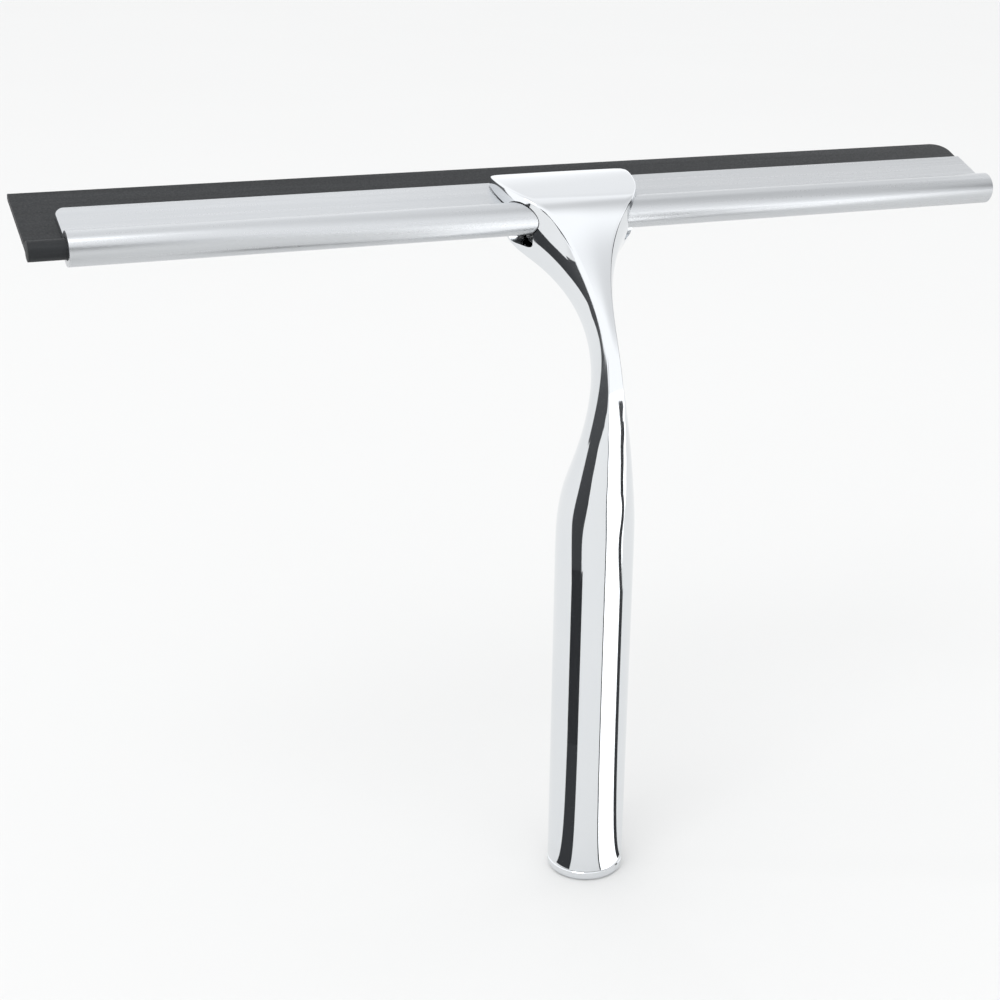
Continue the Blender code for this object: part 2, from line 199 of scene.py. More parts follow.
def pick(piece, wanted):
    """Selects the elements of the edited mesh that are wanted, and nothing else."""
    bpy.ops.mesh.select_all(action="DESELECT")
    shape = bmesh.from_edit_mesh(piece.data)
    for element in wanted(shape):
        element.select_set(True)
    shape.select_flush_mode()
    bmesh.update_edit_mesh(piece.data)


def put_corner(piece, index, target):
    """Moves one corner of the edited mesh to its place."""
    shape = bmesh.from_edit_mesh(piece.data)
    shape.verts.ensure_lookup_table()
    step = target - shape.verts[index].co
    pick(piece, lambda mesh: (mesh.verts[index],))
    bpy.ops.transform.translate(value=step)


def drawn_outline(name, points):
    """Starts a piece as a ring of edges, each corner drawn to its place; stays in edit mode."""
    let_go()
    bpy.ops.mesh.primitive_circle_add(vertices=len(points), radius=10.0 * MM, enter_editmode=True)
    piece = name_piece(name)
    bpy.ops.mesh.select_mode(type="VERT")
    for index, point in enumerate(points):
        put_corner(piece, index, Vector(point))
    return piece


def outward():
    """Turns every face of the edited mesh outwards."""
    bpy.ops.mesh.select_all(action="SELECT")
    bpy.ops.mesh.normals_make_consistent(inside=False)


def section_point(reach, height, x=0.0):
    """A point of the blade's section, in the frame."""
    return BULB_CENTRE + reach * REACH + height * NORMAL + Vector((x, 0.0, 0.0))


def extruded(name, points, step):
    """A solid: the drawn outline, filled and extruded by the step."""
    piece = drawn_outline(name, points)
    bpy.ops.mesh.select_all(action="SELECT")
    bpy.ops.mesh.edge_face_add()
    bpy.ops.mesh.extrude_region_move(TRANSFORM_OT_translate={"value": step})
    outward()
    bpy.ops.object.mode_set(mode="OBJECT")
    return piece


def section_bar(name, section, span):
    """A bar of the given section, centred on the bulb and running along X."""
    points = [section_point(reach, height, -span / 2) for reach, height in section]
    return extruded(name, points, (span, 0.0, 0.0))


def turned(name, profile, steps):
    """A solid of revolution about Z, from a profile that runs from top to bottom on the axis."""
    points = [(radius, 0.0, height) for radius, height in profile]
    piece = drawn_outline(name, points)
    last = len(points) - 1
    bpy.ops.mesh.select_mode(type="EDGE")
    pick(piece, lambda mesh: [e for e in mesh.edges if {v.index for v in e.verts} == {0, last}])
    bpy.ops.mesh.delete(type="EDGE_FACE")
    bpy.ops.mesh.select_mode(type="VERT")
    bpy.ops.mesh.select_all(action="SELECT")
    bpy.ops.mesh.spin(steps=steps, angle=2 * math.pi, center=(0.0, 0.0, 0.0), axis=(0.0, 0.0, 1.0))
    bpy.ops.mesh.select_all(action="SELECT")
    bpy.ops.mesh.remove_doubles(threshold=WELD)
    outward()
    bpy.ops.object.mode_set(mode="OBJECT")
    return piece


def settle(piece, matrix):
    """Places the piece and writes its place into its mesh."""
    take(piece)
    piece.matrix_world = matrix
    bpy.ops.object.transform_apply(location=True, rotation=True, scale=True)


def work(piece, kind, **settings):
    """Adds a modifier to the piece and applies it."""
    take(piece)
    modifier = piece.modifiers.new(kind.title(), kind)
    for key, value in settings.items():
        setattr(modifier, key, value)
    bpy.ops.object.modifier_apply(modifier=modifier.name)


def carve(piece, cutter):
    """Takes the cutter out of the piece."""
    work(piece, "BOOLEAN", operation="DIFFERENCE", solver="EXACT", object=cutter)
    bpy.data.objects.remove(cutter)


def break_edges(piece, width, segments=2):
    """Rounds the sharp edges, as deburring does."""
    work(
        piece,
        "BEVEL",
        width=width,
        segments=segments,
        limit_method="ANGLE",
        angle_limit=BREAK_ANGLE,
        harden_normals=False,
    )


def finish_piece(piece, material, body, node, angle=35.0):
    """Shades the piece, gives it its material and ties it to the frame."""
    take(piece)
    bpy.ops.object.shade_smooth_by_angle(angle=math.radians(angle))
    piece.data.materials.clear()
    piece.data.materials.append(material)
    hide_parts(node)
    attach(piece, body)


def arc(centre, radius, start, end, steps):
    """Points along an arc, both ends included; angles in degrees."""
    points = []
    for step in range(steps + 1):
        angle = math.radians(start + (end - start) * step / steps)
        points.append((centre[0] + radius * math.cos(angle), centre[1] + radius * math.sin(angle)))
    return points


def rise(radius, height):
    """The angle, in degrees, at which a circle about the bulb reaches this height."""
    return math.degrees(math.asin(height / radius))


def run(radius, reach):
    """The angle, in degrees, at which a circle about the bulb is under this reach."""
    return 360.0 - math.degrees(math.acos(reach / radius))


# ---------------------------------------------------------------------------------------------
# Materials


# A colour Mix node's own sockets, which share their names with its number sockets
COLOUR_A = 6
COLOUR_B = 7
COLOUR_RESULT = 2


def toned(colour, *shares):
    """The colour as a socket value, each channel times its share."""
    return (*(channel * share for channel, share in zip(colour, shares)), 1.0)


def add_node(tree, kind, sockets=None, **settings):
    """Adds a node, sets its settings, and sets or links its sockets."""
    node = tree.nodes.new(kind)
    for key, value in settings.items():
        setattr(node, key, value)
    for key, value in (sockets or {}).items():
        if isinstance(value, bpy.types.NodeSocket):
            tree.links.new(value, node.inputs[key])
        else:
            node.inputs[key].default_value = value
    return node


def new_material(name):
    """A new node material, with its tree and the piece's own coordinates."""
    material = bpy.data.materials.new(name)
    material.use_nodes = True
    tree = material.node_tree
    tree.nodes.clear()
    return material, tree, add_node(tree, "ShaderNodeTexCoord").outputs["Object"]


def chrome_plate(name, colour, bloom):
    """Decorative chrome over a polished zinc casting.

    The polished casting keeps a slow waviness that bends the reflections a little, and the
    plate has the faint haze of wiping marks.
    """
    material, tree, place = new_material(name)
    # Waves of polishing, about 18 mm long
    waves = add_node(tree, "ShaderNodeTexNoise", {"Vector": place, "Scale": 55.0, "Detail": 1.0})
    swell = add_node(
        tree,
        "ShaderNodeBump",
        {"Height": waves.outputs["Fac"], "Distance": 0.02 * MM, "Strength": 0.35},
    )
    # Wiping marks run up and down the handle, about 1 mm apart and 12 mm long
    lengthwise = add_node(
        tree, "ShaderNodeMapping", {"Vector": place, "Scale": (900.0, 900.0, 80.0)}
    )
    marks = add_node(
        tree,
        "ShaderNodeTexNoise",
        {"Vector": lengthwise.outputs["Vector"], "Scale": 1.0, "Detail": 3.0, "Roughness": 0.6},
    )
    haze = add_node(
        tree,
        "ShaderNodeMapRange",
        {
            "Value": marks.outputs["Fac"],
            "From Min": 0.35,
            "From Max": 0.75,
            "To Min": bloom,
            "To Max": bloom + 0.035,
        },
    )
    # Water spots and fingerprints dull the mirror in soft patches about 30 mm across
    patches = add_node(tree, "ShaderNodeTexNoise", {"Vector": place, "Scale": 34.0, "Detail": 4.0})
    dull = add_node(
        tree,
        "ShaderNodeMapRange",
        {
            "Value": patches.outputs["Fac"],
            "From Min": 0.45,
            "From Max": 0.8,
            "To Min": 0.0,
            "To Max": 0.03,
        },
    )
    rough = add_node(
        tree,
        "ShaderNodeMath",
        {0: haze.outputs["Result"], 1: dull.outputs["Result"]},
        operation="ADD",
    )
    tint = add_node(
        tree,
        "ShaderNodeMix",
        {
            "Factor": patches.outputs["Fac"],
            COLOUR_A: (*colour, 1.0),
            COLOUR_B: toned(colour, 0.96, 0.97, 0.98),
        },
        data_type="RGBA",
    )
    shader = add_node(
        tree,
        "ShaderNodeBsdfPrincipled",
        {
            "Base Color": tint.outputs[COLOUR_RESULT],
            "Metallic": 1.0,
            "Roughness": rough.outputs["Value"],
            "Normal": swell.outputs["Normal"],
        },
    )
    add_node(tree, "ShaderNodeOutputMaterial", {"Surface": shader.outputs["BSDF"]})
    return material


def satin_aluminium(colour):
    """Extruded aluminium, etched satin and clear anodised.

    Die lines run the whole length, and the etch spreads every highlight into a soft band.
    """
    material, tree, place = new_material("satin_anodised_aluminium")
    # Die lines 0.2 mm apart are too fine to show, so they are drawn 0.7 mm apart, 90 mm long
    die = add_node(tree, "ShaderNodeMapping", {"Vector": place, "Scale": (11.0, 1400.0, 1400.0)})
    lines = add_node(
        tree,
        "ShaderNodeTexNoise",
        {"Vector": die.outputs["Vector"], "Scale": 1.0, "Detail": 4.0, "Roughness": 0.65},
    )
    # The etch's frosted grain, about 0.4 mm
    grain = add_node(tree, "ShaderNodeTexNoise", {"Vector": place, "Scale": 2500.0, "Detail": 2.0})
    mixed = add_node(
        tree,
        "ShaderNodeMix",
        {"Factor": 0.3, "A": lines.outputs["Fac"], "B": grain.outputs["Fac"]},
        data_type="FLOAT",
    )
    rough = add_node(
        tree,
        "ShaderNodeMapRange",
        {
            "Value": mixed.outputs["Result"],
            "From Min": 0.3,
            "From Max": 0.7,
            "To Min": 0.24,
            "To Max": 0.36,
        },
    )
    tint = add_node(
        tree,
        "ShaderNodeMix",
        {
            "Factor": mixed.outputs["Result"],
            COLOUR_A: (*colour, 1.0),
            COLOUR_B: toned(colour, 0.84, 0.85, 0.86),
        },
        data_type="RGBA",
    )
    relief = add_node(
        tree,
        "ShaderNodeBump",
        {"Height": mixed.outputs["Result"], "Distance": 0.01 * MM, "Strength": 0.6},
    )
    shader = add_node(
        tree,
        "ShaderNodeBsdfPrincipled",
        {
            "Base Color": tint.outputs[COLOUR_RESULT],
            "Metallic": 1.0,
            "Roughness": rough.outputs["Result"],
            "Normal": relief.outputs["Normal"],
        },
    )
    add_node(tree, "ShaderNodeOutputMaterial", {"Surface": shader.outputs["BSDF"]})
    return material


def blade_rubber(colour):
    """Natural rubber, moulded in strip and cut to length.

    It is matte with a fine talc bloom, which lightens it in streaks along the strip.
    """
    material, tree, place = new_material("moulded_natural_rubber")
    # Bloom lies in streaks about 1.5 mm wide and 50 mm long
    strip = add_node(tree, "ShaderNodeMapping", {"Vector": place, "Scale": (20.0, 650.0, 650.0)})
    streaks = add_node(
        tree,
        "ShaderNodeTexNoise",
        {"Vector": strip.outputs["Vector"], "Scale": 1.0, "Detail": 5.0, "Roughness": 0.6},
    )
    # Moulded grain, about 0.5 mm
    grain = add_node(tree, "ShaderNodeTexNoise", {"Vector": place, "Scale": 1900.0, "Detail": 3.0})
    bloom = add_node(
        tree,
        "ShaderNodeMapRange",
        {"Value": streaks.outputs["Fac"], "From Min": 0.4, "From Max": 0.75},
    )
    tint = add_node(
        tree,
        "ShaderNodeMix",
        {
            "Factor": bloom.outputs["Result"],
            COLOUR_A: (*colour, 1.0),
            COLOUR_B: toned(colour, 1.55, 1.55, 1.55),
        },
        data_type="RGBA",
    )
    rough = add_node(
        tree,
        "ShaderNodeMapRange",
        {
            "Value": grain.outputs["Fac"],
            "From Min": 0.3,
            "From Max": 0.7,
            "To Min": 0.48,
            "To Max": 0.66,
        },
    )
    relief = add_node(
        tree,
        "ShaderNodeBump",
        {"Height": grain.outputs["Fac"], "Distance": 0.03 * MM, "Strength": 0.5},
    )
    shader = add_node(
        tree,
        "ShaderNodeBsdfPrincipled",
        {
            "Base Color": tint.outputs[COLOUR_RESULT],
            "Roughness": rough.outputs["Result"],
            "IOR": 1.52,
            "Specular IOR Level": 0.25,
            "Normal": relief.outputs["Normal"],
        },
    )
    add_node(tree, "ShaderNodeOutputMaterial", {"Surface": shader.outputs["BSDF"]})
    return material


def seal_rubber():
    """Nitrile rubber, moulded as a ring: near black, smooth and slightly greasy."""
    material, tree, place = new_material("moulded_nitrile_rubber")
    # Moulded grain, about 0.7 mm
    grain = add_node(tree, "ShaderNodeTexNoise", {"Vector": place, "Scale": 1500.0, "Detail": 3.0})
    tint = add_node(
        tree,
        "ShaderNodeMix",
        {
            "Factor": grain.outputs["Fac"],
            COLOUR_A: (*linear("#17171a"), 1.0),
            COLOUR_B: (*linear("#242427"), 1.0),
        },
        data_type="RGBA",
    )
    rough = add_node(
        tree,
        "ShaderNodeMapRange",
        {"Value": grain.outputs["Fac"], "To Min": 0.32, "To Max": 0.5},
    )
    shader = add_node(
        tree,
        "ShaderNodeBsdfPrincipled",
        {
            "Base Color": tint.outputs[COLOUR_RESULT],
            "Roughness": rough.outputs["Result"],
            "IOR": 1.52,
        },
    )
    add_node(tree, "ShaderNodeOutputMaterial", {"Surface": shader.outputs["BSDF"]})
    return material


def shoe_nylon(colour):
    """Nylon, injection moulded in a polished tool: black and glossy with faint flow lines."""
    material, tree, place = new_material("moulded_nylon")
    # Flow lines, about 3 mm wide
    flow = add_node(
        tree,
        "ShaderNodeTexNoise",
        {"Vector": place, "Scale": 330.0, "Detail": 2.0, "Distortion": 1.2},
    )
    tint = add_node(
        tree,
        "ShaderNodeMix",
        {
            "Factor": flow.outputs["Fac"],
            COLOUR_A: (*colour, 1.0),
            COLOUR_B: toned(colour, 1.6, 1.6, 1.6),
        },
        data_type="RGBA",
    )
    rough = add_node(
        tree,
        "ShaderNodeMapRange",
        {"Value": flow.outputs["Fac"], "To Min": 0.14, "To Max": 0.3},
    )
    relief = add_node(
        tree,
        "ShaderNodeBump",
        {"Height": flow.outputs["Fac"], "Distance": 0.02 * MM, "Strength": 0.3},
    )
    shader = add_node(
        tree,
        "ShaderNodeBsdfPrincipled",
        {
            "Base Color": tint.outputs[COLOUR_RESULT],
            "Roughness": rough.outputs["Result"],
            "IOR": 1.53,
            "Normal": relief.outputs["Normal"],
        },
    )
    add_node(tree, "ShaderNodeOutputMaterial", {"Surface": shader.outputs["BSDF"]})
    return material


def screw_steel(colour):
    """Cold-headed steel, barrel plated with zinc: bright, with the tumbling's small dents."""
    material, tree, place = new_material("zinc_plated_steel")
    # Tumbling dents, about 0.4 mm
    dents = add_node(tree, "ShaderNodeTexVoronoi", {"Vector": place, "Scale": 2400.0})
    # The plating's cloudiness, about 1.5 mm
    cloud = add_node(tree, "ShaderNodeTexNoise", {"Vector": place, "Scale": 700.0, "Detail": 3.0})
    tint = add_node(
        tree,
        "ShaderNodeMix",
        {
            "Factor": cloud.outputs["Fac"],
            COLOUR_A: (*colour, 1.0),
            COLOUR_B: toned(colour, 0.75, 0.78, 0.86),
        },
        data_type="RGBA",
    )
    rough = add_node(
        tree,
        "ShaderNodeMapRange",
        {"Value": cloud.outputs["Fac"], "To Min": 0.16, "To Max": 0.34},
    )
    relief = add_node(
        tree,
        "ShaderNodeBump",
        {"Height": dents.outputs["Distance"], "Distance": 0.01 * MM, "Strength": 0.35},
    )
    shader = add_node(
        tree,
        "ShaderNodeBsdfPrincipled",
        {
            "Base Color": tint.outputs[COLOUR_RESULT],
            "Metallic": 1.0,
            "Roughness": rough.outputs["Result"],
            "Normal": relief.outputs["Normal"],
        },
    )
    add_node(tree, "ShaderNodeOutputMaterial", {"Surface": shader.outputs["BSDF"]})
    return material


def studio_surface(name, colour, glow=0.0):
    """Painted board: matte, with a very slight mottle, and lit from behind if it glows."""
    material, tree, place = new_material(name)
    mottle = add_node(tree, "ShaderNodeTexNoise", {"Vector": place, "Scale": 3.0, "Detail": 3.0})
    tint = add_node(
        tree,
        "ShaderNodeMix",
        {
            "Factor": mottle.outputs["Fac"],
            COLOUR_A: (*colour, 1.0),
            COLOUR_B: toned(colour, 0.985, 0.985, 0.985),
        },
        data_type="RGBA",
    )
    shader = add_node(
        tree,
        "ShaderNodeBsdfPrincipled",
        {
            "Base Color": tint.outputs[COLOUR_RESULT],
            "Roughness": 0.85,
            "Specular IOR Level": 0.1,
            "Emission Color": (1.0, 1.0, 1.0, 1.0),
            "Emission Strength": glow,
        },
    )
    add_node(tree, "ShaderNodeOutputMaterial", {"Surface": shader.outputs["BSDF"]})
    return material


# ---------------------------------------------------------------------------------------------
# The handle


def shaped_ring(front, back, front_half, side_half, back_half):
    """The cage points of a flat-fronted ring between a front and a back point."""
    half = (
        (0.0, -FRONT_BULGE),
        (front_half, 0.0),
        (front_half + SHOULDER_MIX * (side_half - front_half), SHOULDER_DEPTH),
        (side_half, 0.5),
        ((1.0 - HAUNCH_MIX) * side_half + HAUNCH_MIX * back_half, HAUNCH_DEPTH),
        (back_half, 1.0),
        (0.0, 1.0 + FRONT_BULGE),
    )
    mirrored = [(-width, depth) for width, depth in half[5:0:-1]]
    points = []
    for width, depth in half + tuple(mirrored):
        points.append(front.lerp(back, depth) + Vector((width, 0.0, 0.0)))
    return points


def cage_rings(radius):
    """Every ring of the handle's cage, from the grip's open end to the far edge of the head."""
    step = 2 * math.pi / RING_POINTS
    rings = []
    for height in GRIP_RINGS:
        ring = []
        for index in range(RING_POINTS):
            angle = index * step
            across = radius * math.sin(angle)
            ring.append(Vector((across, -radius * math.cos(angle), height * MM)))
        rings.append(ring)
    for front_y, front_z, back_y, back_z, *halves in NECK_STATIONS:
        front = Vector((0.0, front_y, front_z)) * MM
        back = Vector((0.0, back_y, back_z)) * MM
        rings.append(shaped_ring(front, back, *(half * MM for half in halves)))
    for front_reach, front_height, back_reach, back_height, *halves in HEAD_STATIONS:
        front = section_point(front_reach * MM, front_height * MM)
        back = section_point(back_reach * MM, back_height * MM)
        rings.append(shaped_ring(front, back, *(half * MM for half in halves)))
    return rings


def casting(sizes):
    """The handle's closed form: a ring extruded up the grip, the neck and the head."""
    # Smoothing draws a ring of twelve points in, so its cage is a little wider
    cage_radius = sizes.grip_radius * 3 / (2 + math.cos(2 * math.pi / RING_POINTS))
    rings = cage_rings(cage_radius)
    let_go()
    bpy.ops.mesh.primitive_circle_add(
        vertices=RING_POINTS,
        radius=cage_radius,
        fill_type="NGON",
        location=(0.0, 0.0, GRIP_RINGS[0] * MM),
    )
    handle = name_piece("handle_shell")
    bpy.ops.object.transform_apply(location=True, rotation=True, scale=True)
    bpy.ops.object.mode_set(mode="EDIT")
    bpy.ops.mesh.select_mode(type="VERT")
    bpy.ops.mesh.select_all(action="SELECT")
    for low, high in zip(rings, rings[1:]):
        lift = high[0] - low[0]
        bpy.ops.mesh.extrude_region_move(TRANSFORM_OT_translate={"value": lift})
        shape = bmesh.from_edit_mesh(handle.data)
        shape.verts.ensure_lookup_table()
        loose = [v.index for v in shape.verts if v.select]
        places = {index: shape.verts[index].co.copy() for index in loose}
        for start, target in zip(low, high):
            nearest = min(loose, key=lambda index: (places[index] - start - lift).length)
            put_corner(handle, nearest, target)
        pick(handle, lambda mesh: [mesh.verts[index] for index in loose])
    crease_front(handle, rings)
    outward()
    work(handle, "SUBSURF", levels=sizes.smoothing, render_levels=sizes.smoothing)
    return handle


def crease_front(handle, rings):
    """Sharpens the two lines where the flat front turns into the flanks, and both ends."""
    bpy.ops.mesh.select_mode(type="EDGE")

    def joins(low, high):
        """Selects the edge between two cage points."""

        def wanted(mesh):
            found = []
            for edge in mesh.edges:
                a, b = (vertex.co for vertex in edge.verts)
                if (a - low).length + (b - high).length < SAME_PLACE:
                    found.append(edge)
                if (b - low).length + (a - high).length < SAME_PLACE:
                    found.append(edge)
            return found

        return wanted

    for level, (low, high) in enumerate(zip(rings, rings[1:])):
        sharpness = FRONT_CREASE * min(max(0.0, (level - len(GRIP_RINGS)) / CREASE_RINGS), 1.0)
        if sharpness == 0.0:
            continue
        for index in (1, RING_POINTS - 1):
            pick(handle, joins(low[index], high[index]))
            bpy.ops.transform.edge_crease(value=sharpness)
    for ring in (rings[0], rings[-1]):
        for index in range(RING_POINTS):
            pick(handle, joins(ring[index], ring[(index + 1) % RING_POINTS]))
            bpy.ops.transform.edge_crease(value=1.0)


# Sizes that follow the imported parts, in the blade's section frame
FLANGE_TOP = 1.8 * MM
FLANGE_THICKNESS = 1.3 * MM
FLANGE_REACH = 17.5 * MM
FLANGE_CORNER = 4.0 * MM
CREASE_ROUND = 0.8 * MM
GROOVE_RADIUS = 3.1 * MM
SLOT_FLOOR = -1.9 * MM
LIP_REACH = 28.0 * MM
LIP_CHAMFER = 0.9 * MM
RUBBER_OFFSET = -4.5 * MM
LIP_CORNER = 5.0 * MM
CUT_EDGE = 0.12 * MM
MOULDED_EDGE = 0.25 * MM
JAW_REACH = 2.6 * MM
CLAMP_TRAVEL = 1.0 * MM
SHOE_LENGTH = 30.0 * MM
SHOE_BACK = -4.2 * MM
SHOE_FRONT = 0.9 * MM
SHOE_BOTTOM = -6.5 * MM
SHOE_ROUND = 1.2 * MM
# The grip's bore, the screws, the end cap and its seal
GRIP_BORE_RADIUS = 10.0 * MM
GRIP_BORE_TOP = 98.0 * MM
BORE_CONE = 5.0 * MM
SCREW_SPACING = 19.0 * MM
SCREW_OFFSET = -1.6 * MM
SCREW_SHANK_RADIUS = 2.0 * MM
SCREW_HEAD_RADIUS = 3.5 * MM
SCREW_HEAD_HEIGHT = 2.2 * MM
SCREW_HEAD_ROUND = 1.2 * MM
SCREW_TIP_CHAMFER = 0.5 * MM
SCREW_SEAT = -10.2 * MM
DRIVE_REACH = 1.9 * MM
DRIVE_WIDTH = 0.9 * MM
DRIVE_DEPTH = 1.4 * MM
DRIVE_TAPER = 0.45
CAP_HEIGHT = 3.2 * MM
CAP_EDGE_ROUND = 1.6 * MM
# An extra ring on the flat bottom, as a share of the radius, keeps its faces even
CAP_INNER_RING = 0.6
PLUG_RADIUS = 9.2 * MM
PLUG_TOP = 14.0 * MM
PLUG_CHAMFER = 0.8 * MM
CAP_CHAMFER = 0.3 * MM
SEAL_GROOVE_RADIUS = 7.7 * MM
SEAL_GROOVE_HALF_WIDTH = 1.2 * MM
SEAL_HEIGHT = 9.0 * MM
SEAL_WIRE_RADIUS = 0.85 * MM

# How far the cutters run past the faces they cut
OVERCUT = 5.0 * MM
SEAT_CUT_LENGTH = 60.0 * MM
SEAT_CUT_REACH = 40.0 * MM
SEAT_CUT_DEPTH = -20.0 * MM
SCREW_HOLE_DEPTH = -15.0 * MM
SCREW_SEAT_DEPTH = -26.0 * MM


def seat_cutter(sizes):
    """The C-seat: room for the bulb, the shoe's pocket below it and the flange's slot."""
    radius = sizes.bulb_radius + sizes.fit_gap
    ceiling = FLANGE_TOP + sizes.fit_gap
    round_radius = CREASE_ROUND - sizes.fit_gap
    round_height = ceiling + round_radius
    round_reach = math.sqrt((radius + round_radius) ** 2 - round_height**2)
    meeting = math.degrees(math.atan2(round_height, round_reach))
    pocket_back = SHOE_BACK - sizes.fit_gap
    pocket_front = SHOE_FRONT + sizes.fit_gap
    pocket_floor = SHOE_BOTTOM - CLAMP_TRAVEL - sizes.fit_gap
    pocket_round = SHOE_ROUND + sizes.fit_gap
    round_floor = pocket_floor + pocket_round
    section = [(SEAT_CUT_REACH, ceiling)]
    section += arc((round_reach, round_height), round_radius, 270.0, 180.0 + meeting, 6)
    section += arc((0.0, 0.0), radius, meeting, run(radius, pocket_back), 40)[1:]
    section += arc((pocket_back + pocket_round, round_floor), pocket_round, 180.0, 270.0, 8)
    section += arc((pocket_front - pocket_round, round_floor), pocket_round, 270.0, 360.0, 8)
    section += arc((0.0, 0.0), radius, run(radius, pocket_front), run(radius, JAW_REACH), 4)
    section += [(JAW_REACH, SEAT_CUT_DEPTH), (SEAT_CUT_REACH, SEAT_CUT_DEPTH)]
    return section_bar("seat_cutter", section, SEAT_CUT_LENGTH)


def corner_cutter(x, reach, side, radius):
    """The shape that rounds one far corner of the flange or of the rubber's lip."""
    centre = (x - side * radius, reach - radius)
    outline = [(x + side * radius, reach - radius), (x + side * radius, reach + radius)]
    outline.append((x - side * radius, reach + radius))
    outline += arc(centre, radius, 90.0, 90.0 - side * 90.0, 12)
    points = [section_point(along, -GROOVE_RADIUS, across) for across, along in outline]
    return extruded("corner_cutter", points, 2 * GROOVE_RADIUS * NORMAL)


def screw_frame(side):
    """The frame of one clamp screw: local Z points from its head up to the bulb."""
    centre = section_point(SCREW_OFFSET, 0.0, side * SCREW_SPACING / 2)
    turn = Vector((0.0, 0.0, 1.0)).rotation_difference(NORMAL)
    return Matrix.Translation(centre) @ turn.to_matrix().to_4x4()


class SQUEEGEE_OT_handle(Operator):
    """Builds the one-piece chrome handle: round grip, slim neck and fan-shaped head."""

    bl_idname = "squeegee.handle"
    bl_label = "Handle"

    def execute(self, context):
        sizes = context.scene.squeegee_sizes
        finishes = context.scene.squeegee_finishes
        handle = casting(sizes)
        carve(handle, seat_cutter(sizes))
        bore = (
            (0.0, GRIP_BORE_TOP + BORE_CONE),
            (GRIP_BORE_RADIUS, GRIP_BORE_TOP),
            (GRIP_BORE_RADIUS, -OVERCUT),
            (0.0, -OVERCUT),
        )
        carve(handle, turned("bore_cutter", bore, 96))
        for side in (-1, 1):
            for name, radius, top, bottom, steps in (
                ("hole_cutter", SCREW_SHANK_RADIUS, SHOE_BOTTOM, SCREW_HOLE_DEPTH, 48),
                ("counterbore_cutter", SCREW_HEAD_RADIUS, SCREW_SEAT, SCREW_SEAT_DEPTH, 64),
            ):
                wide = radius + sizes.fit_gap
                profile = ((0.0, top), (wide, top), (wide, bottom), (0.0, bottom))
                cutter = turned(name, profile, steps)
                settle(cutter, screw_frame(side))
                carve(handle, cutter)
        material = chrome_plate("bright_chrome_plate", tuple(finishes.chrome), 0.03)
        finish_piece(handle, material, "handle_body", "handle", 50.0)
        return {"FINISHED"}


class SQUEEGEE_OT_end_cap(Operator):
    """Builds the chrome plug at the foot of the grip."""

    bl_idname = "squeegee.end_cap"
    bl_label = "End cap"

    def execute(self, context):
        sizes = context.scene.squeegee_sizes
        finishes = context.scene.squeegee_finishes
        low = SEAL_HEIGHT - SEAL_GROOVE_HALF_WIDTH
        high = SEAL_HEIGHT + SEAL_GROOVE_HALF_WIDTH
        profile = [
            (0.0, PLUG_TOP),
            (PLUG_RADIUS - PLUG_CHAMFER, PLUG_TOP),
            (PLUG_RADIUS, PLUG_TOP - PLUG_CHAMFER),
            (PLUG_RADIUS, high),
            (SEAL_GROOVE_RADIUS, high),
            (SEAL_GROOVE_RADIUS, low),
            (PLUG_RADIUS, low),
            (PLUG_RADIUS, CAP_HEIGHT),
            (sizes.grip_radius - CAP_CHAMFER, CAP_HEIGHT),
            (sizes.grip_radius, CAP_HEIGHT - CAP_CHAMFER),
        ]
        corner = (sizes.grip_radius - CAP_EDGE_ROUND, CAP_EDGE_ROUND)
        profile += arc(corner, CAP_EDGE_ROUND, 0.0, -90.0, 12)
        profile += [(CAP_INNER_RING * sizes.grip_radius, 0.0), (0.0, 0.0)]
        cap = turned("end_plug", profile, 128)
        material = chrome_plate("turned_chrome_plate", tuple(finishes.chrome), 0.05)
        finish_piece(cap, material, "handle_body", "end_cap", 30.0)
        return {"FINISHED"}


class SQUEEGEE_OT_seal_ring(Operator):
    """Builds the rubber ring that holds the plug in the grip."""

    bl_idname = "squeegee.seal_ring"
    bl_label = "Seal ring"

    def execute(self, context):
        sizes = context.scene.squeegee_sizes
        major = SEAL_GROOVE_RADIUS + sizes.fit_gap + SEAL_WIRE_RADIUS
        let_go()
        bpy.ops.mesh.primitive_torus_add(
            location=(0.0, 0.0, SEAL_HEIGHT),
            major_radius=major,
            minor_radius=SEAL_WIRE_RADIUS,
            major_segments=96,
            minor_segments=20,
        )
        ring = name_piece("seal_ring")
        settle(ring, Matrix.Translation((0.0, 0.0, SEAL_HEIGHT)))
        finish_piece(ring, seal_rubber(), "handle_body", "cap_seal_ring", 60.0)
        return {"FINISHED"}


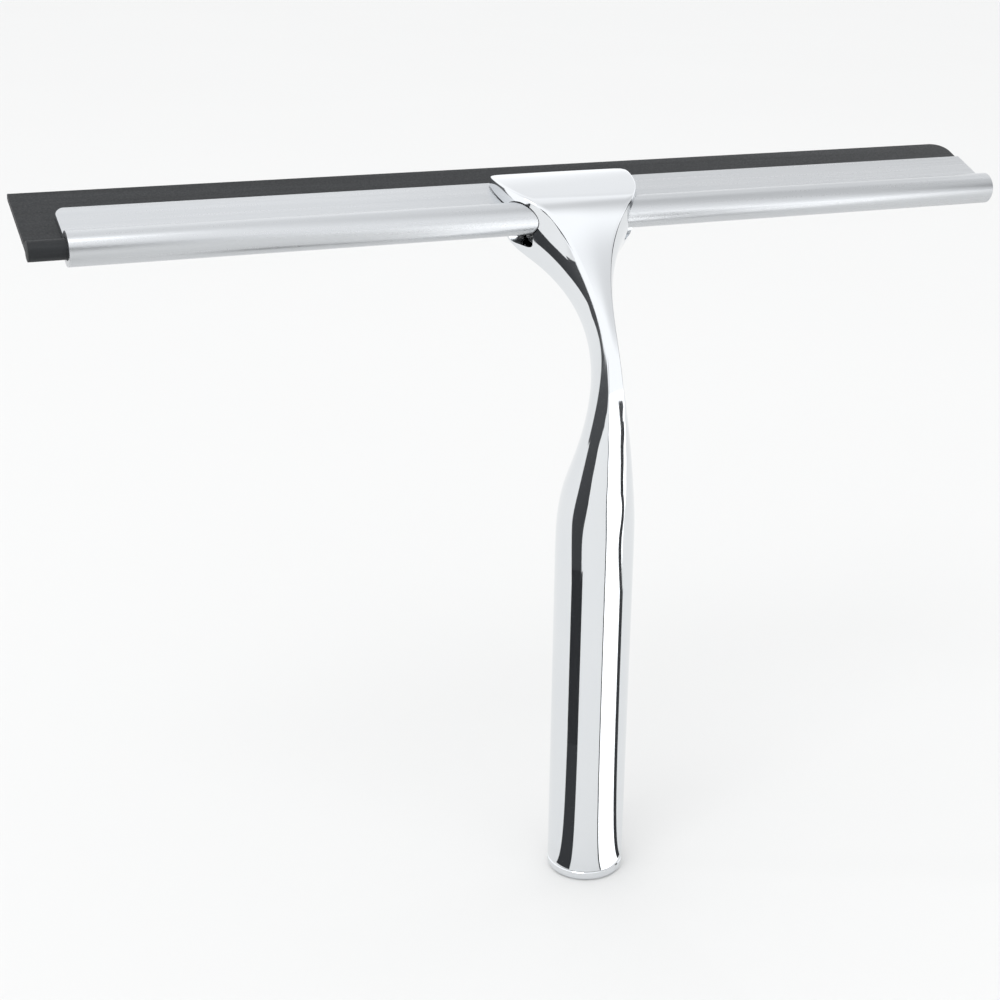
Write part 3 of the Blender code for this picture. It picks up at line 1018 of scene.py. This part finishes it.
class SQUEEGEE_OT_blade_channel(Operator):
    """Builds the aluminium extrusion: a slotted round bulb with a flat flange."""

    bl_idname = "squeegee.blade_channel"
    bl_label = "Blade channel"

    def execute(self, context):
        sizes = context.scene.squeegee_sizes
        finishes = context.scene.squeegee_finishes
        flange_bottom = FLANGE_TOP - FLANGE_THICKNESS
        round_height = FLANGE_TOP + CREASE_ROUND
        round_reach = math.sqrt((sizes.bulb_radius + CREASE_ROUND) ** 2 - round_height**2)
        meeting = math.degrees(math.atan2(round_height, round_reach))
        edge = (FLANGE_REACH - FLANGE_THICKNESS / 2, FLANGE_TOP - FLANGE_THICKNESS / 2)
        section = arc(edge, FLANGE_THICKNESS / 2, -90.0, 90.0, 10)
        section += arc((round_reach, round_height), CREASE_ROUND, 270.0, 180.0 + meeting, 8)
        outer_end = 360.0 + rise(sizes.bulb_radius, SLOT_FLOOR)
        section += arc((0.0, 0.0), sizes.bulb_radius, meeting, outer_end, 72)[1:]
        inner_start = 360.0 + rise(GROOVE_RADIUS, SLOT_FLOOR)
        inner_end = rise(GROOVE_RADIUS, flange_bottom)
        section += arc((0.0, 0.0), GROOVE_RADIUS, inner_start, inner_end, 48)
        channel = section_bar("channel_extrusion", section, sizes.channel_length)
        left_end = -sizes.channel_length / 2
        carve(channel, corner_cutter(left_end, FLANGE_REACH, -1, FLANGE_CORNER))
        break_edges(channel, CUT_EDGE)
        material = satin_aluminium(tuple(finishes.aluminium))
        finish_piece(channel, material, "channel_body", "blade_channel", 30.0)
        return {"FINISHED"}


class SQUEEGEE_OT_rubber_blade(Operator):
    """Builds the rubber: a round bead in the bulb and a web that ends in the wiping lip."""

    bl_idname = "squeegee.rubber_blade"
    bl_label = "Rubber blade"

    def execute(self, context):
        sizes = context.scene.squeegee_sizes
        finishes = context.scene.squeegee_finishes
        top = FLANGE_TOP - FLANGE_THICKNESS - sizes.fit_gap
        bottom = SLOT_FLOOR + sizes.fit_gap
        bead = GROOVE_RADIUS - sizes.fit_gap
        section = arc((0.0, 0.0), bead, rise(bead, top), 360.0 + rise(bead, bottom), 40)
        section += [
            (LIP_REACH - LIP_CHAMFER, bottom),
            (LIP_REACH, bottom + LIP_CHAMFER / 2),
            (LIP_REACH, top),
        ]
        rubber = section_bar("rubber_strip", section, sizes.blade_length)
        settle(rubber, Matrix.Translation((RUBBER_OFFSET, 0.0, 0.0)))
        right_end = RUBBER_OFFSET + sizes.blade_length / 2
        carve(rubber, corner_cutter(right_end, LIP_REACH, 1, LIP_CORNER))
        break_edges(rubber, CUT_EDGE)
        material = blade_rubber(tuple(finishes.rubber))
        finish_piece(rubber, material, "rubber_body", "rubber_blade", 30.0)
        return {"FINISHED"}


class SQUEEGEE_OT_clamp_shoe(Operator):
    """Builds the black shoe under the bulb."""

    bl_idname = "squeegee.clamp_shoe"
    bl_label = "Clamp shoe"

    def execute(self, context):
        sizes = context.scene.squeegee_sizes
        finishes = context.scene.squeegee_finishes
        radius = sizes.bulb_radius + sizes.fit_gap
        section = arc((0.0, 0.0), radius, run(radius, SHOE_FRONT), run(radius, SHOE_BACK), 24)
        round_height = SHOE_BOTTOM + SHOE_ROUND
        section += arc((SHOE_BACK + SHOE_ROUND, round_height), SHOE_ROUND, 180.0, 270.0, 8)
        section += arc((SHOE_FRONT - SHOE_ROUND, round_height), SHOE_ROUND, 270.0, 360.0, 8)
        shoe = section_bar("nylon_shoe", section, SHOE_LENGTH)
        break_edges(shoe, MOULDED_EDGE, 3)
        material = shoe_nylon(tuple(finishes.nylon))
        finish_piece(shoe, material, "shoe_body", "clamp_shoe", 30.0)
        return {"FINISHED"}


def drive_bar(turn, foot):
    """One bar of the cross recess, which narrows towards the recess's floor."""
    let_go()
    bpy.ops.mesh.primitive_cube_add(
        size=1.0, location=(0.0, 0.0, foot), scale=(2 * DRIVE_REACH, DRIVE_WIDTH, 2 * DRIVE_DEPTH)
    )
    bar = name_piece("drive_cutter")
    bpy.ops.object.transform_apply(location=True, rotation=True, scale=True)
    bpy.ops.object.mode_set(mode="EDIT")
    bpy.ops.mesh.select_mode(type="FACE")
    pick(bar, lambda mesh: [face for face in mesh.faces if face.normal.z > 0.9])
    middle = (0.0, 0.0, foot + DRIVE_DEPTH)
    bpy.ops.transform.resize(value=(DRIVE_TAPER, DRIVE_TAPER, 1.0), center_override=middle)
    bpy.ops.object.mode_set(mode="OBJECT")
    settle(bar, Matrix.Rotation(turn, 4, "Z"))
    return bar


class SQUEEGEE_OT_clamp_screws(Operator):
    """Builds the two pan-head screws that push the shoe up."""

    bl_idname = "squeegee.clamp_screws"
    bl_label = "Clamp screws"

    def execute(self, context):
        sizes = context.scene.squeegee_sizes
        finishes = context.scene.squeegee_finishes
        tip = SHOE_BOTTOM - sizes.fit_gap
        neck = SCREW_SEAT - sizes.fit_gap
        foot = neck - SCREW_HEAD_HEIGHT
        profile = [
            (0.0, tip),
            (SCREW_SHANK_RADIUS - SCREW_TIP_CHAMFER, tip),
            (SCREW_SHANK_RADIUS, tip - SCREW_TIP_CHAMFER),
            (SCREW_SHANK_RADIUS, neck),
            (SCREW_HEAD_RADIUS, neck),
        ]
        corner = (SCREW_HEAD_RADIUS - SCREW_HEAD_ROUND, foot + SCREW_HEAD_ROUND)
        profile += arc(corner, SCREW_HEAD_ROUND, 0.0, -90.0, 10)
        profile.append((0.0, foot))
        pattern = turned("machine_screw", profile, 64)
        for turn in (0.0, math.pi / 2):
            carve(pattern, drive_bar(turn, foot))
        material = screw_steel(tuple(finishes.steel))
        for side, word in ((-1, "left"), (1, "right")):
            screw = pattern.copy()
            screw.data = pattern.data.copy()
            screw.name = screw.data.name = "machine_screw_" + word
            context.scene.collection.objects.link(screw)
            settle(screw, screw_frame(side))
            body = word + "_screw_body"
            finish_piece(screw, material, body, "clamp_screw_" + word, 30.0)
        bpy.data.objects.remove(pattern)
        return {"FINISHED"}


# ---------------------------------------------------------------------------------------------
# The studio

VIEW_AZIMUTH = math.radians(26.0)
VIEW_ELEVATION = math.radians(20.651)
VIEW_ROLL = math.radians(1.711)
VIEW_DISTANCE = 0.5536
VIEW_TARGET = Vector((0.0, 0.00864, 0.1188))
VIEW_LENS = 65.06
VIEW_SENSOR = 36.0
VIEW_SHIFT_X = -0.083
VIEW_SHIFT_Y = 0.0112

FLOOR_SIZE = 40.0
CARD_STEPS = 16
CARD_GLOW = 0.7
# The softbox's place from the target, its width and its power in watts
KEY_STEP = Vector((-1.2, -1.0, 2.2))
KEY_SIZE = 1.2
KEY_POWER = 10.0
AIR_COLOUR = (0.985, 0.99, 1.0, 1.0)
AIR_STRENGTH = 1.25
# Soft grey patches of the air: direction from the camera's and elevation, in degrees, the
# cosines at which each is full and at which it is gone, and what is left of the light
AIR_PATCHES = (
    (95.0, 40.0, 0.97, 0.80, 0.68),
    (160.0, 38.0, 0.975, 0.94, 0.82),
    (100.0, 82.0, 0.98, 0.74, 0.85),
)


def view_axes():
    """The directions from the object to the camera, to its right and up."""
    back = Vector(
        (
            -math.sin(VIEW_AZIMUTH) * math.cos(VIEW_ELEVATION),
            -math.cos(VIEW_AZIMUTH) * math.cos(VIEW_ELEVATION),
            math.sin(VIEW_ELEVATION),
        )
    )
    right = Vector((math.cos(VIEW_AZIMUTH), -math.sin(VIEW_AZIMUTH), 0.0))
    return back, right, back.cross(right)


def card(name, start, end, low, high, material, drift=0.0):
    """A studio card seen only in mirrors: a strip spun round the grip between two directions.

    Directions are in degrees from the camera's, positive to its right. low and high are the
    distance from the grip's axis and the height of the strip's two long edges, and drift is
    how far the high edge is turned on from the low one.
    """
    let_go()
    bpy.ops.mesh.primitive_plane_add(size=1.0, enter_editmode=True)
    strip = name_piece(name)
    bpy.ops.mesh.select_mode(type="VERT")
    bpy.ops.mesh.select_all(action="SELECT")
    bpy.ops.mesh.merge(type="CENTER")
    back, right, _ = view_axes()
    flat = Vector((back.x, back.y, 0.0)).normalized()
    edges = []
    for (distance, height), direction in ((low, start), (high, start + drift)):
        angle = math.radians(direction)
        away = flat * math.cos(angle) + right * math.sin(angle)
        edges.append(away * distance + Vector((0.0, 0.0, height)))
    put_corner(strip, 0, edges[0])
    bpy.ops.mesh.extrude_vertices_move(TRANSFORM_OT_translate={"value": edges[1] - edges[0]})
    bpy.ops.mesh.select_all(action="SELECT")
    bpy.ops.mesh.spin(
        steps=CARD_STEPS,
        angle=math.radians(start - end),
        center=(0.0, 0.0, 0.0),
        axis=(0.0, 0.0, 1.0),
    )
    bpy.ops.object.mode_set(mode="OBJECT")
    strip.data.materials.append(material)
    strip.visible_camera = False
    strip.visible_diffuse = False
    strip.visible_shadow = False
    strip.visible_transmission = False


def softbox(name, place, target, size, power):
    """A square soft light that looks at the target."""
    let_go()
    bpy.ops.object.light_add(type="AREA", location=place)
    light = bpy.context.object
    light.name = name
    light.rotation_euler = (Vector(target) - Vector(place)).to_track_quat("-Z", "Y").to_euler()
    light.data.shape = "SQUARE"
    light.data.size = size
    light.data.energy = power
    return light


def studio_air():
    """Even white air, a little greyer on the camera's right, behind the object and overhead."""
    world = bpy.data.worlds.new("studio_air")
    world.use_nodes = True
    tree = world.node_tree
    tree.nodes.clear()
    place = add_node(tree, "ShaderNodeTexCoord").outputs["Generated"]
    back, right, _ = view_axes()
    flat = Vector((back.x, back.y, 0.0)).normalized()
    strength = AIR_STRENGTH
    for azimuth, elevation, inner, outer, depth in AIR_PATCHES:
        turn = math.radians(azimuth)
        tilt = math.radians(elevation)
        aside = flat * math.cos(turn) + right * math.sin(turn)
        greyest = aside * math.cos(tilt) + Vector((0.0, 0.0, math.sin(tilt)))
        towards = add_node(
            tree, "ShaderNodeVectorMath", {0: place, 1: greyest}, operation="DOT_PRODUCT"
        )
        grey = add_node(
            tree,
            "ShaderNodeMapRange",
            {
                "Value": towards.outputs["Value"],
                "From Min": outer,
                "From Max": inner,
                "To Min": 1.0,
                "To Max": depth,
            },
            interpolation_type="SMOOTHSTEP",
        )
        product = add_node(
            tree,
            "ShaderNodeMath",
            {0: grey.outputs["Result"], 1: strength},
            operation="MULTIPLY",
        )
        strength = product.outputs["Value"]
    air = add_node(
        tree,
        "ShaderNodeBackground",
        {"Color": AIR_COLOUR, "Strength": strength},
    )
    add_node(tree, "ShaderNodeOutputWorld", {"Surface": air.outputs["Background"]})
    return world


class SQUEEGEE_OT_studio(Operator):
    """Builds the pale floor, the soft lights, the mirror cards and the camera."""

    bl_idname = "squeegee.studio"
    bl_label = "Studio"

    def execute(self, context):
        finishes = context.scene.squeegee_finishes
        let_go()
        bpy.ops.mesh.primitive_plane_add(size=FLOOR_SIZE)
        floor = name_piece("studio_floor")
        floor.data.materials.append(studio_surface("pale_floor", tuple(finishes.floor)))
        black = studio_surface("black_card", linear("#343537"))
        glow = studio_surface("lit_card", linear("#ffffff"), CARD_GLOW)
        ground = 0.5 * MM
        above = 1.0 * MM
        far = 18.0
        for name, start, end, low, high, material, drift in (
            ("black_card_near", -63.0, -30.0, (0.016, above), (0.1, above), black, 0.0),
            ("black_card_wall", -63.0, -30.0, (0.1, ground), (0.1, 0.07), black, 0.0),
            ("black_card_turn", -63.0, -31.0, (0.23, above), (0.45, above), black, -13.0),
            ("black_card_far", -76.0, -44.0, (0.45, above), (1.3, above), black, -3.0),
            ("black_card_far_side", -86.0, -43.0, (1.3, above), (far, above), black, 0.0),
            ("black_card_line", 31.5, 34.5, (0.016, above), (1.5, above), black, 0.0),
            ("black_card_right", 83.0, 96.0, (0.016, above), (0.24, above), black, 0.0),
            ("black_card_right_turn", 83.0, 94.0, (0.24, above), (0.34, above), black, -19.0),
            ("black_card_right_far", 64.0, 75.0, (0.34, above), (0.8, above), black, -7.0),
            ("black_card_right_tip", 57.0, 63.0, (0.8, above), (1.8, above), black, -2.0),
            ("black_card_front", -10.0, 12.0, (1.3, 0.17), (1.3, 0.62), black, 0.0),
            ("black_card_side", 92.0, 118.0, (1.3, 0.1), (1.3, 0.65), black, 0.0),
            ("lit_card_right", 34.5, 88.0, (0.016, ground), (far, ground), glow, 0.0),
        ):
            card(name, start, end, low, high, material, drift)
        context.scene.world = studio_air()
        softbox("key_softbox", VIEW_TARGET + KEY_STEP, VIEW_TARGET, KEY_SIZE, KEY_POWER)
        back, right, up = view_axes()
        across = right * math.cos(VIEW_ROLL) + up * math.sin(VIEW_ROLL)
        upward = up * math.cos(VIEW_ROLL) - right * math.sin(VIEW_ROLL)
        place = VIEW_TARGET + back * VIEW_DISTANCE
        let_go()
        bpy.ops.object.camera_add(location=place)
        camera = bpy.context.object
        camera.name = "studio_camera"
        turn = Matrix((across, upward, back)).transposed().to_4x4()
        camera.matrix_world = Matrix.Translation(place) @ turn
        camera.data.lens = VIEW_LENS
        camera.data.sensor_width = VIEW_SENSOR
        camera.data.clip_start = 0.02
        camera.data.clip_end = 100.0
        camera.data.shift_x = VIEW_SHIFT_X
        camera.data.shift_y = VIEW_SHIFT_Y
        context.scene.camera = camera
        context.scene.view_settings.view_transform = "Standard"
        return {"FINISHED"}


# ---------------------------------------------------------------------------------------------
# The add-on

PIECES = (
    SQUEEGEE_OT_handle,
    SQUEEGEE_OT_end_cap,
    SQUEEGEE_OT_seal_ring,
    SQUEEGEE_OT_blade_channel,
    SQUEEGEE_OT_rubber_blade,
    SQUEEGEE_OT_clamp_shoe,
    SQUEEGEE_OT_clamp_screws,
    SQUEEGEE_OT_studio,
)


class VIEW3D_PT_squeegee(Panel):
    """Lists the squeegee's sizes, finishes and pieces."""

    bl_label = "Squeegee"
    bl_space_type = "VIEW_3D"
    bl_region_type = "UI"
    bl_category = "Squeegee"

    def draw(self, context):
        for group in (context.scene.squeegee_sizes, context.scene.squeegee_finishes):
            box = self.layout.box()
            for key in group.bl_rna.properties.keys():
                if key not in ("rna_type", "name"):
                    box.prop(group, key)
        for piece in PIECES:
            self.layout.operator(piece.bl_idname)


CLASSES = (SqueegeeSizes, SqueegeeFinishes, *PIECES, VIEW3D_PT_squeegee)


def register():
    """Registers the add-on's classes and its settings."""
    for kind in CLASSES:
        bpy.utils.register_class(kind)
    bpy.types.Scene.squeegee_sizes = PointerProperty(type=SqueegeeSizes)
    bpy.types.Scene.squeegee_finishes = PointerProperty(type=SqueegeeFinishes)


def unregister():
    """Removes the add-on's settings and classes."""
    del bpy.types.Scene.squeegee_finishes
    del bpy.types.Scene.squeegee_sizes
    for kind in reversed(CLASSES):
        bpy.utils.unregister_class(kind)


def main():
    """Builds every piece and the studio."""
    register()
    for piece in PIECES:
        group, action = piece.bl_idname.split(".")
        getattr(getattr(bpy.ops, group), action)()


if __name__ == "__main__":
    main()
